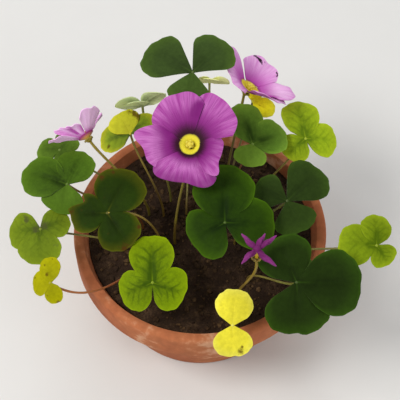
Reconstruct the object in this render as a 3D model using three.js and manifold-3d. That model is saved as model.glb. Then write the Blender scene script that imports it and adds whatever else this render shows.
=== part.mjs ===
// Violet wood sorrel in a clay pot: a low plant with leaves of three leaflets and four violet blooms.
// Millimetres, +Z up, the middle of the pot's base at the origin, the front of the plant towards -Y.

import * as THREE from "three";
import { mergeVertices } from "three/addons/utils/BufferGeometryUtils.js";
import Module from "manifold-3d";

const wasm = await Module();
wasm.setup();

// Pot and soil
const pot = {
  height: 56, baseRadius: 40, neckRadius: 50, rimRadius: 55, rimHeight: 15, wall: 4.5, floor: 6,
  drainRadius: 6, edge: 1.2, sides: 36,
};
const soil = { top: 50, mound: 2, lump: 0.7, clearance: 0.35, taperClearance: 0.2, sides: 24 };

// Stems. straight: the upright run out of the soil. rise: its pull on the bend above, as a share of the
// height that's left.
const stem = {
  foot: 40, straight: 13, rise: 0.45, petioleRadius: 0.5, scapeRadius: 0.6, sides: 5, steps: 7,
  holeClearance: 0.5, holeSides: 7, holeHeight: 20,
};

// Leaflet blades. waist: where the blade is widest, as a share of its reach. sweep: how far its round end
// runs back towards the hub, in degrees. taper: how much narrower it is there.
// arch, fold and ripple: how far it arches, folds down at the sides and waves, as shares of its size.
const blade = {
  thickness: 0.7, waist: 0.54, sweep: 132, taper: 0.14, arch: 0.28, fold: 0.05, ripple: 0.025, start: -0.3,
  rows: [0.55, 1], columns: 8, smallColumns: 6, smallReach: 13,
};

// Leaves. hub: where the leaflets meet. lean: degrees towards the front and the right. root: in the soil.
// bend: from the hub to the handle that steers the petiole's upper end. waist: where it isn't the usual one.
// A leaflet is [turn in the leaf's plane, droop, reach, width].
const leaves = {
  leaf_01: {
    hub: [-3, 43.5, 108.5], lean: [12, -4], root: [-2, 16], bend: [1, -2, -20], tone: "dark",
    leaflets: [[149, 5, 23.8, 22], [46, 5, 20.3, 22], [-101, 5, 15, 19]], waist: 0.64,
  },
  leaf_02: {
    hub: [-24, 32.8, 99.4], lean: [-84, 0], root: [-13, 16], bend: [0, -2, -16], tone: "pale",
    leaflets: [[-162, 5, 12, 11], [-56, 5, 16, 9.5], [-110, 20, 10, 10]],
  },
  leaf_03: {
    hub: [-29, 22, 95], lean: [14, -8], root: [-16, 8], bend: [2, -3, -14], tone: "yellow",
    leaflets: [[118, -5, 10.6, 15], [-170, 16, 14.7, 13], [37, 5, 12.5, 10]],
  },
  leaf_04: {
    hub: [-61, 28, 74], lean: [10, -10], root: [-27, 14], bend: [8, -4, -6], tone: "middle",
    leaflets: [[172, 8, 11, 12], [52, 8, 9.5, 13], [-62, 10, 9.5, 11]],
  },
  leaf_05: {
    hub: [-55, 3, 85.5], lean: [14, -8], root: [-25, 2], bend: [10, -2, -12], tone: "middle",
    leaflets: [[160, 6, 21.3, 19.5], [68, 6, 16, 18], [-107, 14, 12.8, 20]],
  },
  leaf_06: {
    hub: [-37.6, -12.1, 87.3], lean: [16, -5], root: [-16, -11], bend: [16, 3, 1], tone: "dark",
    leaflets: [[64, 6, 20.8, 23.5], [-180, 2, 15.5, 18], [-57, 6, 17.1, 19.5]],
  },
  leaf_07: {
    hub: [-66, -13, 76], lean: [14, -10], root: [-29, -10], bend: [10, 2, -8], tone: "light",
    leaflets: [[-178, 8, 14.6, 17], [21, 8, 13, 14], [-90, 8, 15, 20]],
  },
  leaf_08: {
    hub: [-60.5, -37, 74], lean: [22, -10], root: [-28, -22], bend: [17, -7, -13], tone: "yellow",
    leaflets: [[92, 5, 11, 9.5], [-179, 8, 8, 11], [-72, 12, 9, 8]],
  },
  leaf_09: {
    hub: [-19, -39, 78], lean: [20, -3], root: [-10, -24], bend: [2, 3, -12], tone: "lime",
    leaflets: [[92, 5, 20, 19.5], [-156, 8, 14.3, 18.3], [-19, 8, 14.3, 19.3]],
  },
  leaf_10: {
    hub: [10, -17, 88], lean: [18, 2], root: [3, -13], bend: [-1, 1, -16], tone: "dark",
    leaflets: [[91.5, 5, 25, 27.5], [-148, 8, 16, 24], [-2, 6, 21, 23]],
  },
  leaf_11: {
    hub: [36, -3, 82], lean: [15, 6], root: [15, -6], bend: [-6, 0, -12], tone: "deep",
    leaflets: [[46, 6, 21.6, 21.5], [155, 6, 15, 17], [-67, 6, 14.5, 20]], waist: 0.62,
  },
  leaf_12: {
    hub: [38, -42, 84], lean: [22, 6], root: [20, -25], bend: [-3, 4, -14], tone: "deep",
    leaflets: [[114, 5, 20, 24], [0, 6, 27.5, 28.5], [-88, 8, 21, 28]], waist: 0.56,
  },
  leaf_13: {
    hub: [72, -22, 78], lean: [14, 6], root: [30, -14], bend: [-12, 2, -8], tone: "lime",
    leaflets: [[178, 6, 16, 19], [88, 6, 14, 14], [-56, 10, 9.5, 13]],
  },
  leaf_14: {
    hub: [22, 20, 90], lean: [12, 3], root: [9, 4], bend: [-5, -2, -14], tone: "middle",
    leaflets: [[106, 5, 20, 17], [25, 6, 16, 17.5], [-101, 10, 10, 15]],
  },
  leaf_15: {
    hub: [45, 27, 84], lean: [12, 8], root: [20, 9], bend: [-5, -3, -12], tone: "lime",
    leaflets: [[101, 5, 18.7, 18], [0, 6, 14.2, 17], [-137, 8, 12, 15]],
  },
  leaf_16: {
    hub: [23, 47, 84], lean: [8, 4], root: [12, 19], bend: [-2, -3, -14], tone: "yellow",
    leaflets: [[-29, 5, 11, 10], [75, 5, 7, 7]],
  },
  leaf_17: {
    hub: [4, 45, 100.2], lean: [-80, 0], root: [4, 12], bend: [0, -2, -14], tone: "pale",
    leaflets: [[-150, 5, 6.5, 7.5], [-80, 20, 8, 8], [-10, 5, 9, 7]],
  },
  leaf_18: {
    hub: [13, -54, 70], lean: [24, 2], root: [9, -34], bend: [0, 5, -8], tone: "yellow",
    leaflets: [[85, 6, 15, 16.5], [-89, 10, 13, 17]],
  },
  leaf_19: {
    hub: [-5, 29, 70], lean: [4, -2], root: [-6, 9], bend: [0, -4, -8], tone: "middle",
    leaflets: [[95, 12, 12, 12], [-150, 12, 12, 12], [-10, 12, 12, 12]],
  },
  leaf_20: {
    hub: [46, -33, 68], lean: [8, 8], root: [24, -17], bend: [-6, 3, -6], tone: "middle",
    leaflets: [[130, 12, 13, 13], [-110, 12, 12, 12], [10, 12, 13, 13]],
  },
};

const tones = {
  deep: "#2f4a1e", dark: "#3c5a24", middle: "#4f7a2b", light: "#6f9434", lime: "#8aa41f", yellow: "#cfc62c",
  pale: "#8da26a",
};

// Petals. overlapLift: how far one edge rides over the next petal. throatPinch: degrees that each side draws
// in at the throat. fall: how much shorter the petal is at its corners. cup: how deep it bows.
const petalForm = {
  thickness: 0.8, inset: 0.9, overlapLift: 1.5, throatPinch: 4, fall: 0.24, cornerRound: 1.6, cup: 0.9,
  peakWidth: 0.3, rows: [0, 0.4, 1], columns: 6,
};

// Cup and sepals that hold the bloom's tube. gap: left below the tube. foot: the cup's depth below that.
const calyxForm = {
  gap: 0.4, foot: 0.9, height: 0.7, innerRadius: 1.6, outerRadius: 2.2, footRadius: 1, sepals: 5,
  sepalHalfWidth: 0.8, sepalHeight: 0.35, sepalThickness: 0.7,
};
// Foot of the tube. heightShare and floorShare: the most that it takes of a short tube.
const tubeFoot = { radius: 1.1, bore: 0.45, height: 1.6, heightShare: 0.2, floor: 1.2, floorShare: 0.45 };
const throatSides = 10;
const tubeSides = 8;
const rolledSides = 6;

// Open blooms. throat: middle of the throat. lean: degrees towards the front and the right.
// slim: how much narrower the cup and the foot of the tube are than the usual ones.
// A petal is [turn about the bloom's axis, reach from the axis, half angle, rise at the tip, flare of its
// corners, and for a pointed one where the point is across it, from -1 to 1, and how far it stands out].
const blooms = {
  bloom_front: {
    throat: [-4, 8, 107], lean: [23, -9], tube: 9, lip: 4.6, sepal: 4.4, root: [-11, -6],
    bend: [-5, -6, -14],
    petals: [
      [110, 21.5, 41, 2, 0], [46, 22, 38, 2, 0, 0.55, 0.07], [-24, 13.8, 38, 3, 0.1, -0.68, 0.42],
      [-102, 15.5, 50, 1, 0.6], [183, 18.5, 36, 2, 0, -0.43, 0.32],
    ],
  },
  bloom_back: {
    throat: [21, 45.5, 95.6], lean: [-24, 34], tube: 2.6, lip: 4.3, sepal: 0.8, root: [10, 15],
    bend: [-0.5, 2, -12], slim: 0.3,
    petals: [
      [76, 18.7, 38, 7.5, -0.1, 0.4, 0.07], [154, 20.5, 31, 6.5, -0.1], [-1, 18.2, 40, 9, -0.05],
      [-57, 17.7, 39, 7.8, 0], [-150, 14.5, 42, 3.5, 0],
    ],
  },
  bloom_left: {
    throat: [-48, 25, 89.2], lean: [-66, -36], tube: 1.8, lip: 3.4, sepal: 0.6, root: [-22.5, 9],
    bend: [5, -4, -8], slim: 0.3,
    petals: [
      [-41, 11.8, 40, 7, 0], [-119, 9.4, 34, 6, 0], [-143, 11.3, 28, 8, 0], [-172, 14.6, 34, 6.8, 0],
      [52, 12.8, 46, 4.5, 0],
    ],
  },
};

// Closed, fading bloom: narrow rolled petals as [turn, rise, reach, width]
const fading = {
  throat: [22, -35, 98], lean: [-15, 0], tube: 5, lip: 2.4, sepal: 1, root: [14, -36], bend: [2, 0, -16],
  slim: 0.4,
  petals: [
    [139, 25, 8.5, 2.6], [58, 35, 7, 2.4], [34, 15, 9.5, 2.6], [-137, -15, 8.5, 2.6], [-38, -20, 10, 2.8],
  ],
};

const degrees = Math.PI / 180;
const joinTolerance = 0.05;

function material(color, roughness) {
  return new THREE.MeshStandardMaterial({ color, roughness, metalness: 0 });
}

// A manifold solid from a closed three.js geometry
function solidOf(geometry) {
  const plain = geometry.clone();
  plain.deleteAttribute("normal");
  plain.deleteAttribute("uv");
  const merged = mergeVertices(plain, 1e-4);
  return new wasm.Manifold(new wasm.Mesh({
    numProp: 3,
    vertProperties: new Float32Array(merged.attributes.position.array),
    triVerts: new Uint32Array(merged.index.array),
  }));
}

function geometryOf(solid) {
  const mesh = solid.getMesh();
  const geometry = new THREE.BufferGeometry();
  geometry.setAttribute("position", new THREE.BufferAttribute(new Float32Array(mesh.vertProperties), 3));
  geometry.setIndex([...mesh.triVerts]);
  geometry.computeVertexNormals();
  return geometry;
}

// One body from several, without the slivers that the joins leave
function joined(solids) {
  return solids.reduce((sum, solid) => sum.add(solid)).asOriginal().simplify(joinTolerance);
}

function named(name, geometry, color, roughness) {
  const mesh = new THREE.Mesh(geometry, material(color, roughness));
  mesh.name = name;
  return mesh;
}

// Rotation that leans +Z towards the front and the right
function leaning([front, right]) {
  const turn = new THREE.Matrix4().makeRotationX(front * degrees);
  return turn.multiply(new THREE.Matrix4().makeRotationY(right * degrees));
}

// Leaned, then turned about the leaned axis, then tipped up at the far end
function facing(lean, turn, rise) {
  const matrix = leaning(lean);
  matrix.multiply(new THREE.Matrix4().makeRotationZ(turn * degrees));
  return matrix.multiply(new THREE.Matrix4().makeRotationY(-rise * degrees));
}

// A closed plate from the points of its middle surface, its upper faces and the loop of its edge
function plate(middle, upper, rim, thickness) {
  const half = new THREE.Vector3(0, 0, thickness / 2);
  const count = middle.length;
  const points = [...middle.map((p) => p.clone().add(half)), ...middle.map((p) => p.clone().sub(half))];
  const faces = [...upper];
  for (const [a, b, c] of upper) {
    faces.push([a + count, c + count, b + count]);
  }
  rim.forEach((from, step) => {
    const to = rim[(step + 1) % rim.length];
    faces.push([from + count, to + count, to], [from + count, to, from]);
  });
  const geometry = new THREE.BufferGeometry().setFromPoints(points);
  geometry.setIndex(faces.flat());
  return geometry;
}

// The points of one row of a plate. surface(row, side) gives its middle surface, with side from -1 to 1.
function rowPoints(surface, row, columns) {
  return Array.from({ length: columns + 1 }, (_, column) => surface(row, (2 * column) / columns - 1));
}

// A plate that fans out from an apex
function fanPlate(surface, rows, columns, thickness) {
  const middle = [surface(0, 0), ...rows.flatMap((row) => rowPoints(surface, row, columns))];
  const at = (row, column) => 1 + row * (columns + 1) + column;
  const faces = [];
  for (let column = 0; column < columns; column += 1) {
    faces.push([0, at(0, column), at(0, column + 1)]);
    for (let row = 1; row < rows.length; row += 1) {
      const [a, b] = [at(row - 1, column), at(row, column)];
      faces.push([a, b, b + 1], [a, b + 1, a + 1]);
    }
  }
  const rim = [0];
  for (let row = 0; row < rows.length - 1; row += 1) {
    rim.push(at(row, 0));
  }
  for (let column = 0; column <= columns; column += 1) {
    rim.push(at(rows.length - 1, column));
  }
  for (let row = rows.length - 2; row >= 0; row -= 1) {
    rim.push(at(row, columns));
  }
  return plate(middle, faces, rim, thickness);
}

// A plate of rows and columns
function bandPlate(surface, rows, columns, thickness) {
  const middle = rows.flatMap((row) => rowPoints(surface, row, columns));
  const at = (row, column) => row * (columns + 1) + column;
  const last = rows.length - 1;
  const faces = [];
  for (let row = 0; row < last; row += 1) {
    for (let column = 0; column < columns; column += 1) {
      const [a, b] = [at(row, column), at(row + 1, column)];
      faces.push([a, b, b + 1], [a, b + 1, a + 1]);
    }
  }
  const rim = [];
  for (let row = 0; row < last; row += 1) {
    rim.push(at(row, 0));
  }
  for (let column = 0; column < columns; column += 1) {
    rim.push(at(last, column));
  }
  for (let row = last; row > 0; row -= 1) {
    rim.push(at(row, columns));
  }
  for (let column = columns; column > 0; column -= 1) {
    rim.push(at(0, column));
  }
  return plate(middle, faces, rim, thickness);
}

// Leaflet: straight sides from the hub and a broad round end, arched and lightly waved
function leaflet([turn, droop, reach, width], { hub, lean, waist = blade.waist }, wave) {
  const surface = (row, side) => {
    const angle = side * blade.sweep * degrees;
    const narrowing = 1 - blade.taper * (1 - Math.cos(angle)) / 2;
    const x = row * reach * (waist + (1 - waist) * Math.cos(angle));
    const y = row * (width / 2) * Math.sin(angle) * narrowing;
    const along = x / reach;
    const arch = blade.arch * reach * along * (1 - along);
    const fold = blade.fold * Math.abs(y) * along;
    const ripple = blade.ripple * reach * row ** 3 * Math.sin(1.6 * Math.PI * side + wave);
    return new THREE.Vector3(x + blade.start, y, arch - fold + ripple);
  };
  const columns = reach < blade.smallReach ? blade.smallColumns : blade.columns;
  const geometry = fanPlate(surface, blade.rows, columns, blade.thickness);
  return geometry.applyMatrix4(facing(lean, turn, -droop)).translate(...hub);
}

// Stem that rises straight out of the soil and bends to its upper end
function stemGeometry(root, end, bend, radius) {
  const foot = new THREE.Vector3(...root, stem.foot);
  const knee = foot.clone().setZ(stem.foot + stem.straight);
  const tip = new THREE.Vector3(...end);
  const path = new THREE.CurvePath();
  path.add(new THREE.LineCurve3(foot, knee));
  const rise = new THREE.Vector3(0, 0, stem.rise * (tip.z - knee.z));
  const handle = tip.clone().add(new THREE.Vector3(...bend));
  path.add(new THREE.CubicBezierCurve3(knee, knee.clone().add(rise), handle, tip));
  const corners = Array.from({ length: stem.sides }, (_, side) => {
    const angle = (2 * Math.PI * side) / stem.sides;
    return new THREE.Vector2(radius * Math.cos(angle), radius * Math.sin(angle));
  });
  const section = new THREE.Shape(corners);
  return new THREE.ExtrudeGeometry(section, { steps: stem.steps, extrudePath: path, bevelEnabled: false });
}

function leafMesh(name, leaf) {
  const parts = leaf.leaflets.map((row, index) => {
    const wave = 2.1 * index + leaf.hub[0] / 10;
    return solidOf(leaflet(row, leaf, wave));
  });
  parts.push(solidOf(stemGeometry(leaf.root, leaf.hub, leaf.bend, stem.petioleRadius)));
  return named(name, geometryOf(joined(parts)), tones[leaf.tone], 0.55);
}

function lathe(profile, sides) {
  const points = profile.map(([x, y]) => new THREE.Vector2(x, y));
  return new THREE.LatheGeometry(points, sides).rotateX(Math.PI / 2);
}

// Height of the hollow's floor above the end of the tube
function tubeFloor(tube) {
  return Math.min(tubeFoot.floor, tubeFoot.floorShare * tube);
}

// Funnel of the bloom, closed below, with its lip at z = 0
function funnel({ tube, lip, slim = 0 }) {
  const radius = tubeFoot.radius - slim;
  const height = Math.min(tubeFoot.height, tubeFoot.heightShare * tube);
  const floor = tubeFloor(tube);
  const half = petalForm.thickness / 2;
  return lathe([
    [0, -tube], [radius, -tube], [1.1 * radius, height - tube], [lip + half, 0.2], [lip - half, 0.5],
    [tubeFoot.bore, floor - tube], [0, floor - tube],
  ], throatSides);
}

// Petal: a broad blade from the throat, one edge raised over the next petal and one tucked under
function petal([turn, reach, halfAngle, rise, flare, peakSide = 0, peak = 0], lip) {
  const form = petalForm;
  const inner = lip - form.inset;
  const surface = (row, side) => {
    const angle = side * (halfAngle - form.throatPinch * Math.max(0, 1 - 3 * row)) * degrees;
    const corners = flare * side ** 2 * (form.cornerRound - side ** 2);
    const point = peak * Math.exp(-(((side - peakSide) / form.peakWidth) ** 2));
    const outline = inner + (reach - inner) * (1 - form.fall * Math.abs(side) ** 3 + corners + point);
    const radius = inner + row * (outline - inner);
    const out = (radius - inner) / (reach - inner);
    const cup = rise * out ** 1.3 + form.cup * Math.sin(Math.PI * out);
    const lift = form.overlapLift * side * out;
    return new THREE.Vector3(radius * Math.cos(angle), radius * Math.sin(angle), cup - lift);
  };
  return bandPlate(surface, form.rows, form.columns, form.thickness).rotateZ(turn * degrees);
}

// Green cup and five narrow sepals under the bloom's tube
function calyx({ tube, lip, sepal: sepalReach, slim = 0 }) {
  const form = calyxForm;
  const inner = form.innerRadius - slim;
  const outer = form.outerRadius - slim;
  const floor = -tube - form.gap;
  const parts = [solidOf(lathe([
    [0, floor - form.foot], [form.footRadius, floor - form.foot + 0.1], [outer, floor + 0.2],
    [outer, floor + form.height], [inner, floor + form.height], [inner, floor], [0, floor],
  ], throatSides))];
  const rise = Math.atan2(tube - 0.9, lip - 1);
  const middle = (inner + outer) / 2;
  const surface = (row, side) => {
    return new THREE.Vector3(row * sepalReach, form.sepalHalfWidth * side * (1 - 0.75 * row), 0);
  };
  for (let sepal = 0; sepal < form.sepals; sepal += 1) {
    const turn = ((sepal + 0.5) * 360 * degrees) / form.sepals;
    const geometry = bandPlate(surface, [0, 0.5, 1], 2, form.sepalThickness).rotateY(-rise);
    parts.push(solidOf(geometry.translate(middle, 0, floor + form.sepalHeight).rotateZ(turn)));
  }
  return joined(parts);
}

// Yellow column with two rings of anthers, standing in the throat
function stamens(tube, lip) {
  const scale = (lip + 3) / 7.8;
  const floor = tubeFloor(tube) + 0.3 - tube;
  let solid = solidOf(lathe([
    [0, floor], [0.3 * scale, floor], [1.1 * scale, -0.5], [scale, 1.2], [0, 1.6],
  ], 6));
  const low = Math.max(-0.1, 1.3 - tube / 2);
  const rings = [{ out: 1.25, height: 1.1, turn: 0 }, { out: 1.3, height: low, turn: 36 }];
  for (const ring of rings) {
    for (let index = 0; index < 5; index += 1) {
      const angle = (ring.turn + 72 * index) * degrees;
      const anther = new THREE.OctahedronGeometry(0.75 * scale, 0).scale(1, 1, 1.2);
      const out = ring.out * scale;
      anther.translate(out * Math.cos(angle), out * Math.sin(angle), ring.height);
      solid = solid.add(solidOf(anther));
    }
  }
  return solid;
}

function placed(solid, lean, at) {
  const matrix = leaning(lean).setPosition(...at);
  return solid.transform(matrix.toArray());
}

// Stem and calyx of a bloom whose throat is at the given place
function scape(bloom) {
  const { throat, lean, tube, root, bend } = bloom;
  const foot = new THREE.Vector3(0, 0, 0.1 - tube - calyxForm.gap - calyxForm.foot);
  const end = foot.applyMatrix4(leaning(lean)).add(new THREE.Vector3(...throat)).toArray();
  const stalk = solidOf(stemGeometry(root, end, bend, stem.scapeRadius));
  return stalk.add(placed(calyx(bloom), lean, throat));
}

function bloomMeshes(name, bloom) {
  const { throat, lean, tube, lip, petals } = bloom;
  const corolla = joined([solidOf(funnel(bloom)), ...petals.map((row) => solidOf(petal(row, lip)))]);
  const column = stamens(tube, lip);
  return [
    named(`${name}_scape`, geometryOf(scape(bloom)), "#8a8a3a", 0.55),
    named(`${name}_corolla`, geometryOf(placed(corolla, lean, throat)), "#b64fae", 0.5),
    named(`${name}_stamens`, geometryOf(placed(column, lean, throat)), "#dcc832", 0.6),
  ];
}

// Rolled petal: a narrow pointed spindle
function rolledPetal([turn, rise, reach, width]) {
  const profile = [[0, 0], [0.36 * width, 0.3 * reach], [0.5 * width, 0.6 * reach], [0, reach]];
  return lathe(profile, rolledSides).rotateY(90 * degrees).applyMatrix4(facing([0, 0], turn, rise));
}

function fadingMeshes() {
  const { throat, lean, tube, slim, petals } = fading;
  const radius = tubeFoot.radius - slim;
  const column = solidOf(lathe([
    [0, -tube], [radius, -tube], [1.1 * radius, 2 - tube], [1.6, -0.3 * tube], [1.5, 1], [0, 1.6],
  ], tubeSides));
  const corolla = joined([column, ...petals.map((row) => solidOf(rolledPetal(row)))]);
  return [
    named("bloom_fading_scape", geometryOf(scape(fading)), "#9a943c", 0.55),
    named("bloom_fading_corolla", geometryOf(placed(corolla, lean, throat)), "#8f3f92", 0.5),
  ];
}

function potMesh() {
  const { height, baseRadius, neckRadius, rimRadius, rimHeight, wall, floor, drainRadius, edge } = pot;
  const lip = height - rimHeight;
  const inside = rimRadius - wall;
  const bottom = baseRadius - wall;
  const profile = [
    [drainRadius, 0], [baseRadius - edge, 0], [baseRadius, edge], [neckRadius, lip], [rimRadius - edge, lip],
    [rimRadius, lip + edge], [rimRadius, height - edge], [rimRadius - edge, height], [inside + edge, height],
    [inside, height - edge], [bottom, floor + edge], [bottom - edge, floor], [drainRadius, floor],
    [drainRadius, 0],
  ];
  return named("pot", lathe(profile, pot.sides), "#b5653c", 0.85);
}

// Soil that fills the pot below its rim, with a plain upright hole for each stem
function soilMesh(roots) {
  const low = pot.floor + soil.clearance;
  const shoulder = soil.top - 1;
  const bottom = pot.baseRadius - pot.wall - soil.clearance - soil.taperClearance;
  const slope = (pot.rimRadius - pot.baseRadius) / (pot.height - pot.floor - 2 * pot.edge);
  const edge = bottom + slope * (shoulder - low - pot.edge);
  const body = lathe([
    [0, low], [bottom - pot.edge, low], [bottom, low + pot.edge], [edge, shoulder],
    [0.78 * edge, soil.top + 0.3], [0.5 * edge, soil.top + 0.7 * soil.mound],
    [0.22 * edge, soil.top + soil.mound], [0, soil.top + soil.mound],
  ], soil.sides);
  const position = body.attributes.position;
  for (let index = 0; index < position.count; index += 1) {
    const [x, y, z] = [position.getX(index), position.getY(index), position.getZ(index)];
    if (z > soil.top) {
      position.setZ(index, z + soil.lump * Math.sin(0.31 * x + 1) * Math.cos(0.37 * y));
    }
  }
  const middle = stem.foot - stem.holeClearance + stem.holeHeight / 2;
  const holes = roots.map(({ root, radius }) => {
    const hole = new THREE.CylinderGeometry(radius, radius, stem.holeHeight, stem.holeSides);
    return solidOf(hole.rotateX(Math.PI / 2).translate(...root, middle));
  });
  return named("soil", geometryOf(solidOf(body).subtract(joined(holes))), "#3d2c20", 0.95);
}

const plant = new THREE.Group();
const leafHole = stem.petioleRadius + stem.holeClearance;
const bloomHole = stem.scapeRadius + stem.holeClearance;
const roots = [
  ...Object.values(leaves).map(({ root }) => ({ root, radius: leafHole })),
  ...[...Object.values(blooms), fading].map(({ root }) => ({ root, radius: bloomHole })),
];
plant.add(potMesh(), soilMesh(roots));
plant.add(...Object.entries(leaves).map(([name, leaf]) => leafMesh(name, leaf)));
plant.add(...Object.entries(blooms).flatMap(([name, bloom]) => bloomMeshes(name, bloom)));
plant.add(...fadingMeshes());

export default plant;
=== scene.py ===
# Violet wood sorrel in a clay pot: fine leaves, blooms, soil and pot over the plain solids.
# Lengths in the tables are millimetres, as in the solids; meshes are metres.

import math
import random

import bpy
from mathutils import Matrix, Vector, noise


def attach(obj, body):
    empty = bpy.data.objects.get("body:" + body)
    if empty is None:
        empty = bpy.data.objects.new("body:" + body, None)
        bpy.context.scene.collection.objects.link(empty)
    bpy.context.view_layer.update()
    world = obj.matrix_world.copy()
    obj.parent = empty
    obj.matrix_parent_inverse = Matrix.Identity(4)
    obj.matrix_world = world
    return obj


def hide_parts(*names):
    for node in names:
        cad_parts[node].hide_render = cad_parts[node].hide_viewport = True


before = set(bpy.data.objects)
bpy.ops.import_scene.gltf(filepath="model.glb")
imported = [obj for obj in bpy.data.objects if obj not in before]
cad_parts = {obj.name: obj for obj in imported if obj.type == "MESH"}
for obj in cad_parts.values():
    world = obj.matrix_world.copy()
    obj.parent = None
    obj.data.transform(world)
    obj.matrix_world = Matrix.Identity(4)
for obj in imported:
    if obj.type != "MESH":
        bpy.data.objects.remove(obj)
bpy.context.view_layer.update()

MM = 0.001
rng = random.Random(7)

# Leaves. hub, lean [front, right], root, bend and leaflets [turn, droop, reach, width] as in the solids
LEAVES = {
    "leaf_01": ([-3, 43.5, 108.5], [12, -4], [-2, 16], [1, -2, -20], "dark",
                [[149, 5, 23.8, 22], [46, 5, 20.3, 22], [-101, 5, 15, 19]]),
    "leaf_02": ([-24, 32.8, 99.4], [-84, 0], [-13, 16], [0, -2, -16], "pale",
                [[-162, 5, 12, 11], [-56, 5, 16, 9.5], [-110, 20, 10, 10]]),
    "leaf_03": ([-29, 22, 95], [14, -8], [-16, 8], [2, -3, -14], "yellow",
                [[118, -5, 10.6, 15], [-170, 16, 14.7, 13], [37, 5, 12.5, 10]]),
    "leaf_04": ([-61, 28, 74], [10, -10], [-27, 14], [8, -4, -6], "middle",
                [[172, 8, 11, 12], [52, 8, 9.5, 13], [-62, 10, 9.5, 11]]),
    "leaf_05": ([-55, 3, 85.5], [14, -8], [-25, 2], [10, -2, -12], "middle",
                [[160, 6, 21.3, 19.5], [68, 6, 16, 18], [-107, 14, 12.8, 20]]),
    "leaf_06": ([-37.6, -12.1, 87.3], [16, -5], [-16, -11], [16, 3, 1], "dark",
                [[64, 6, 20.8, 23.5], [-180, 2, 15.5, 18], [-57, 6, 17.1, 19.5]]),
    "leaf_07": ([-66, -13, 76], [14, -10], [-29, -10], [10, 2, -8], "light",
                [[-178, 8, 14.6, 17], [21, 8, 13, 14], [-90, 8, 15, 20]]),
    "leaf_08": ([-60.5, -37, 74], [22, -10], [-28, -22], [17, -7, -13], "yellow",
                [[92, 5, 11, 9.5], [-179, 8, 8, 11], [-72, 12, 9, 8]]),
    "leaf_09": ([-19, -39, 78], [20, -3], [-10, -24], [2, 3, -12], "lime",
                [[92, 5, 20, 19.5], [-156, 8, 14.3, 18.3], [-19, 8, 14.3, 19.3]]),
    "leaf_10": ([10, -17, 88], [18, 2], [3, -13], [-1, 1, -16], "dark",
                [[91.5, 5, 25, 27.5], [-148, 8, 16, 24], [-2, 6, 21, 23]]),
    "leaf_11": ([36, -3, 82], [15, 6], [15, -6], [-6, 0, -12], "deep",
                [[46, 6, 21.6, 21.5], [155, 6, 15, 17], [-67, 6, 14.5, 20]]),
    "leaf_12": ([38, -42, 84], [22, 6], [20, -25], [-3, 4, -14], "deep",
                [[114, 5, 20, 24], [0, 6, 27.5, 28.5], [-88, 8, 21, 28]]),
    "leaf_13": ([72, -22, 78], [14, 6], [30, -14], [-12, 2, -8], "lime",
                [[178, 6, 16, 19], [88, 6, 14, 14], [-56, 10, 9.5, 13]]),
    "leaf_14": ([22, 20, 90], [12, 3], [9, 4], [-5, -2, -14], "middle",
                [[106, 5, 20, 17], [25, 6, 16, 17.5], [-101, 10, 10, 15]]),
    "leaf_15": ([45, 27, 84], [12, 8], [20, 9], [-5, -3, -12], "lime",
                [[101, 5, 18.7, 18], [0, 6, 14.2, 17], [-137, 8, 12, 15]]),
    "leaf_16": ([23, 47, 84], [8, 4], [12, 19], [-2, -3, -14], "yellow",
                [[-29, 5, 11, 10], [75, 5, 7, 7]]),
    "leaf_17": ([4, 45, 100.2], [-80, 0], [4, 12], [0, -2, -14], "pale",
                [[-150, 5, 6.5, 7.5], [-80, 20, 8, 8], [-10, 5, 9, 7]]),
    "leaf_18": ([13, -54, 70], [24, 2], [9, -34], [0, 5, -8], "yellow",
                [[85, 6, 15, 16.5], [-89, 10, 13, 17]]),
    "leaf_19": ([-5, 29, 70], [4, -2], [-6, 9], [0, -4, -8], "middle",
                [[95, 12, 12, 12], [-150, 12, 12, 12], [-10, 12, 12, 12]]),
    "leaf_20": ([46, -33, 68], [8, 8], [24, -17], [-6, 3, -6], "middle",
                [[130, 12, 13, 13], [-110, 12, 12, 12], [10, 12, 13, 13]]),
}

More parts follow.
